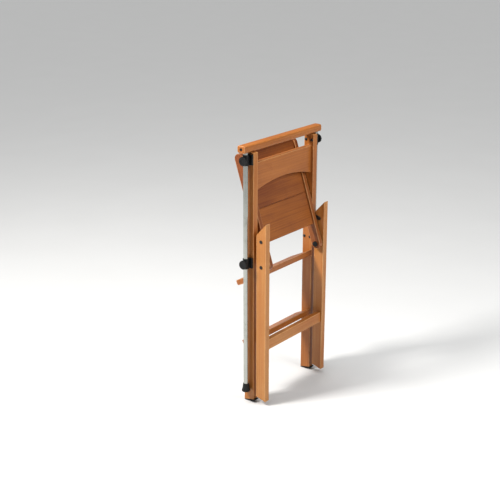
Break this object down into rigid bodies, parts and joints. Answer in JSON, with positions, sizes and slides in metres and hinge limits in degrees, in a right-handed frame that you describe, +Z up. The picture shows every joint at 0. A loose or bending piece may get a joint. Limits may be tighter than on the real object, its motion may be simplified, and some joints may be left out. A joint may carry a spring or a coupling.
{
  "type": "folding step ladder",
  "caption": "Folding wooden step ladder with flat treads, a fold-over standing platform, a hinged prop frame and a telescoping steel handrail held by clamp knobs.",
  "frame": {"origin": "centre of the bounding box on the floor plane, with the ladder folded and standing upright on its heel pads", "axes": "+Z up, +X to the right of a person who climbs the ladder, +Y away from that person, towards the prop frame"},
  "size_m": [0.459, 0.1612, 0.9785],
  "materials": {
    "cherry_wood": "satin clear varnish over reddish orange cherry-like wood",
    "black_plastic": "black moulded plastic with a slight sheen",
    "foot_rubber": "dull black rubber",
    "polished_steel": "polished plated steel tube",
    "dark_steel": "black coated steel",
    "zinc_steel": "dull zinc plated steel"
  },
  "bodies": {
    "climbing_frame": {"back_rail": "cherry_wood", "upper_tread": "cherry_wood", "lower_tread": "cherry_wood", "climbing_upright_left": "cherry_wood", "heel_pad_left": "foot_rubber", "toe_pad_left": "foot_rubber", "prop_pivot_bolt_left": "zinc_steel", "platform_pivot_bolt_left": "zinc_steel", "stop_pin_left": "zinc_steel", "tube_clamp_upper_left": "black_plastic", "clamp_bolt_upper_rear_left": "dark_steel", "clamp_bolt_upper_front_left": "dark_steel", "tube_clamp_lower_left": "black_plastic", "clamp_bolt_lower_rear_left": "dark_steel", "clamp_bolt_lower_front_left": "dark_steel", "climbing_upright_right": "cherry_wood", "heel_pad_right": "foot_rubber", "toe_pad_right": "foot_rubber", "prop_pivot_bolt_right": "zinc_steel", "platform_pivot_bolt_right": "zinc_steel", "stop_pin_right": "zinc_steel", "tube_clamp_upper_right": "black_plastic", "clamp_bolt_upper_rear_right": "dark_steel", "clamp_bolt_upper_front_right": "dark_steel", "tube_clamp_lower_right": "black_plastic", "clamp_bolt_lower_rear_right": "dark_steel", "clamp_bolt_lower_front_right": "dark_steel"},
    "prop_frame": {"prop_stretcher": "cherry_wood", "prop_upright_left": "cherry_wood", "hinge_plate_left": "dark_steel", "plate_bolt_left": "dark_steel", "catch_bolt_left": "dark_steel", "plate_screw_left": "dark_steel", "prop_upright_right": "cherry_wood", "hinge_plate_right": "dark_steel", "plate_bolt_right": "dark_steel", "catch_bolt_right": "dark_steel", "plate_screw_right": "dark_steel"},
    "platform": {"platform_board_rear": "cherry_wood", "platform_board_front": "cherry_wood", "platform_rail_left": "cherry_wood", "catch_knob_left": "black_plastic", "platform_rail_right": "cherry_wood", "catch_knob_right": "black_plastic"},
    "handle": {"handle_bar": "cherry_wood", "handle_tube_left": "polished_steel", "tube_stop_left": "black_plastic", "handle_end_plug_left": "black_plastic", "handle_tube_right": "polished_steel", "tube_stop_right": "black_plastic", "handle_end_plug_right": "black_plastic"},
    "knob_upper_left": {"clamp_knob_upper_left": "black_plastic", "clamp_stud_upper_left": "zinc_steel"},
    "knob_upper_right": {"clamp_knob_upper_right": "black_plastic", "clamp_stud_upper_right": "zinc_steel"},
    "knob_lower_left": {"clamp_knob_lower_left": "black_plastic", "clamp_stud_lower_left": "zinc_steel"},
    "knob_lower_right": {"clamp_knob_lower_right": "black_plastic", "clamp_stud_lower_right": "zinc_steel"}
  },
  "joints": [
    {"name": "prop_hinge", "type": "hinge", "parent": "climbing_frame", "child": "prop_frame", "pos_m": [0, 0.0056, 0.653], "axis": [1, 0, 0], "range_deg": [0, 43]},
    {"name": "platform_hinge", "type": "hinge", "parent": "climbing_frame", "child": "platform", "pos_m": [0, 0.0056, 0.7063], "axis": [1, 0, 0], "range_deg": [0, 98.2]},
    {"name": "handle_slide", "type": "slide", "parent": "climbing_frame", "child": "handle", "axis": [0, 0, 1], "range_m": [0, 0.44]},
    {"name": "knob_turn_upper_left", "type": "hinge", "parent": "climbing_frame", "child": "knob_upper_left", "pos_m": [-0.2235, 0.0056, 0.9236], "axis": [1, 0, 0], "continuous": true},
    {"name": "knob_turn_upper_right", "type": "hinge", "parent": "climbing_frame", "child": "knob_upper_right", "pos_m": [0.2235, 0.0056, 0.9236], "axis": [1, 0, 0], "continuous": true},
    {"name": "knob_turn_lower_left", "type": "hinge", "parent": "climbing_frame", "child": "knob_lower_left", "pos_m": [-0.2235, 0.0056, 0.547], "axis": [1, 0, 0], "continuous": true},
    {"name": "knob_turn_lower_right", "type": "hinge", "parent": "climbing_frame", "child": "knob_lower_right", "pos_m": [0.2235, 0.0056, 0.547], "axis": [1, 0, 0], "continuous": true}
  ]
}
